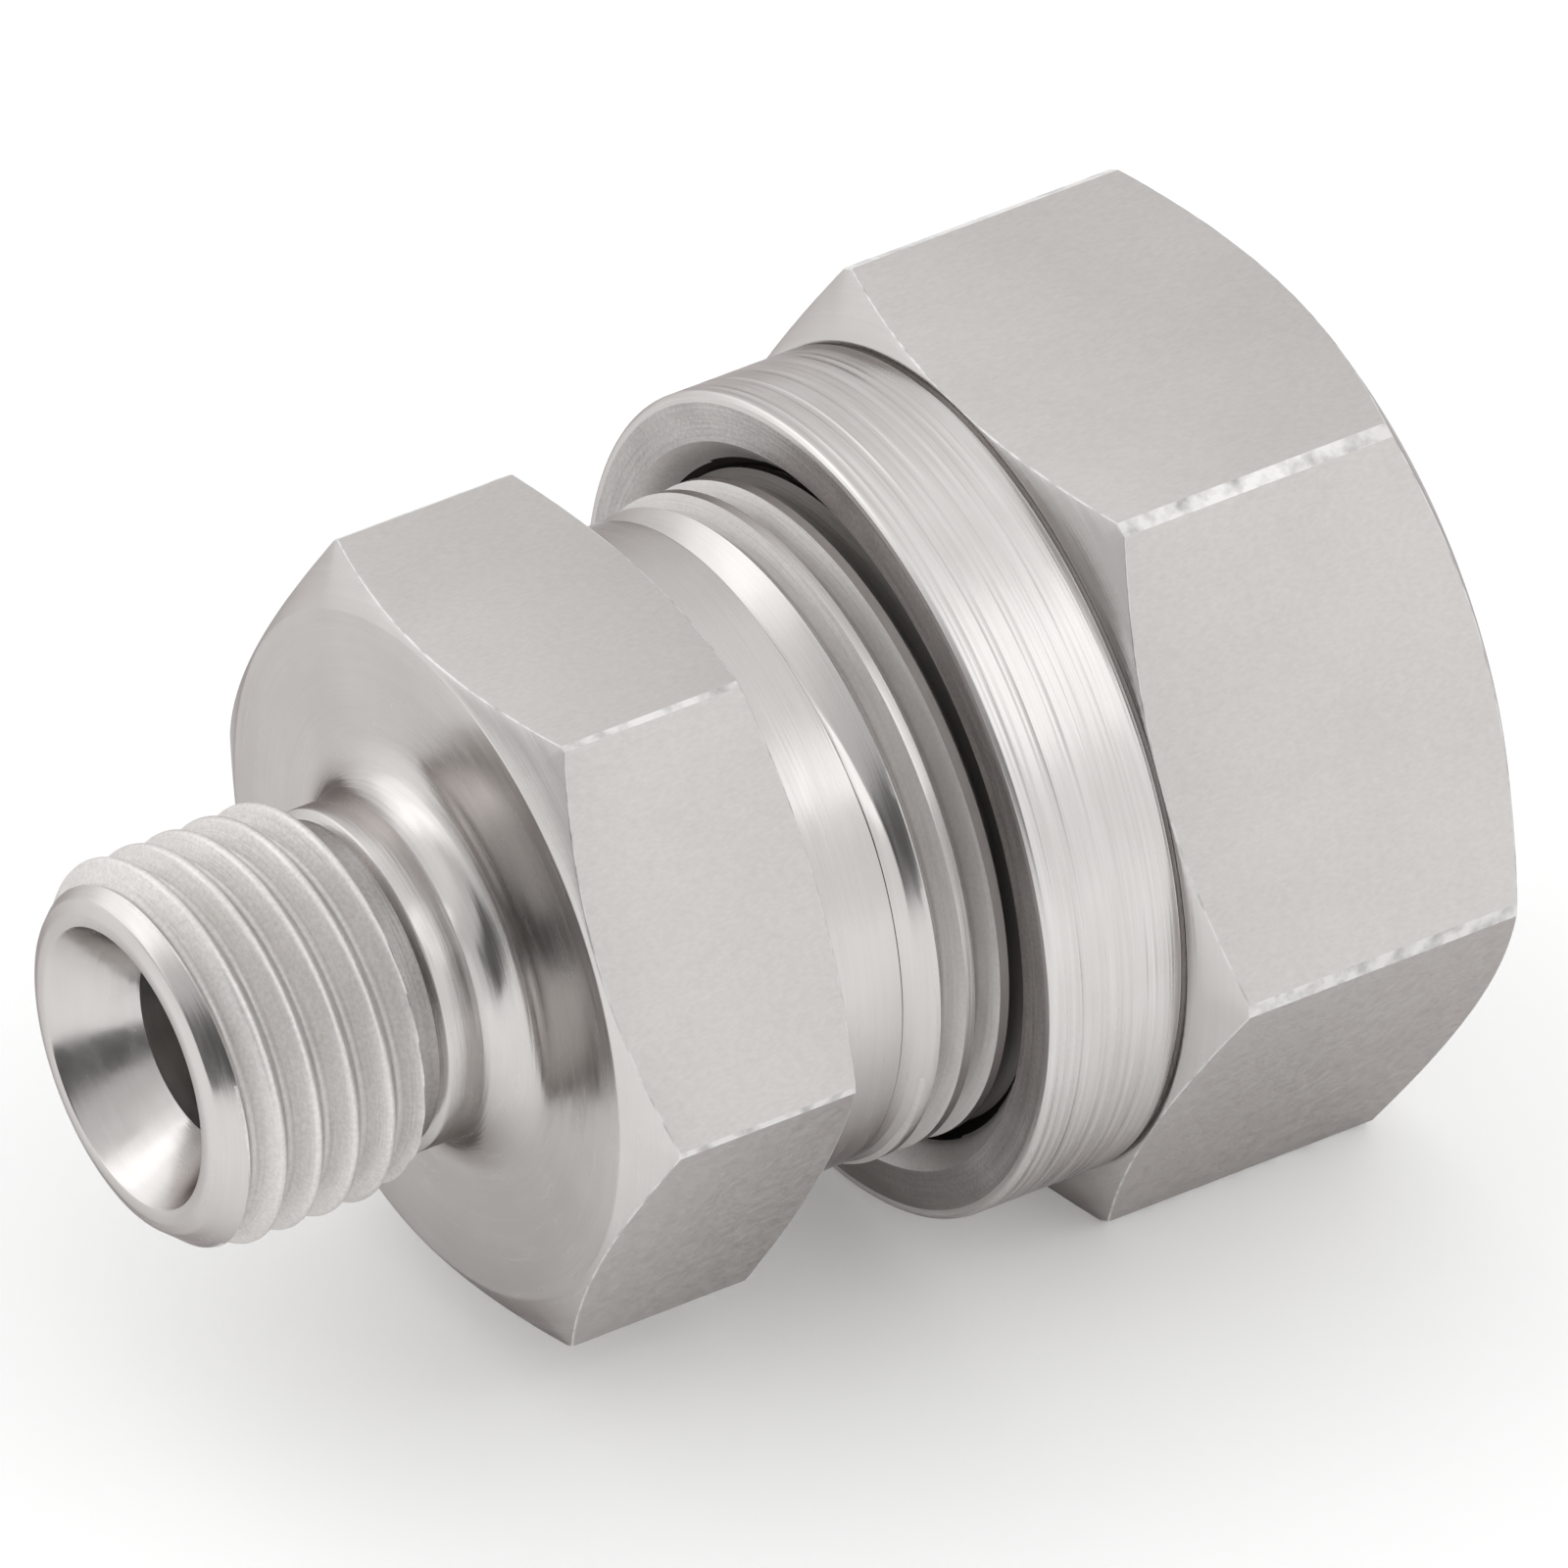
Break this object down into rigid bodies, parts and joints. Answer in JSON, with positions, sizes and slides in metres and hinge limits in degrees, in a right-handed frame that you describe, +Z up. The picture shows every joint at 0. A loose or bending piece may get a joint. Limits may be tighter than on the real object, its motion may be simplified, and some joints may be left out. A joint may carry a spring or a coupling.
{
  "type": "male stud coupling",
  "caption": "Male stud coupling for tube: a hexagon body with a short threaded stud, a threaded tube end, a union nut and a cutting ring inside it.",
  "frame": {"origin": "centre of the box's bottom: under the coupling's axis, at the height of the nut's lower flat", "axes": "+X along the coupling's axis from the stud to the tube end, +Z up, square to the nut's top flat"},
  "size_m": [0.0434, 0.032, 0.0279],
  "materials": {
    "zinc_plate": "bright zinc-plated steel, turned and milled, satin",
    "ring_steel": "turned and hardened steel, bright"
  },
  "bodies": {
    "body": {"stud_body": "zinc_plate"},
    "ring": {"cutting_ring": "ring_steel"},
    "nut": {"union_nut": "zinc_plate"}
  },
  "joints": [
    {"name": "ring_slide", "type": "slide", "parent": "body", "child": "ring", "axis": [1, 0, 0], "range_m": [-0.00192, 0.00541]},
    {"name": "nut_turn", "type": "hinge", "parent": "ring", "child": "nut", "pos_m": [0.01508, 0, 0.01397], "axis": [1, 0, 0], "range_deg": [-540, 1530]}
  ],
  "couplings": [
    {"joint": "ring_slide", "follows": "nut_turn", "m_per_rad": 0.00020213}
  ]
}
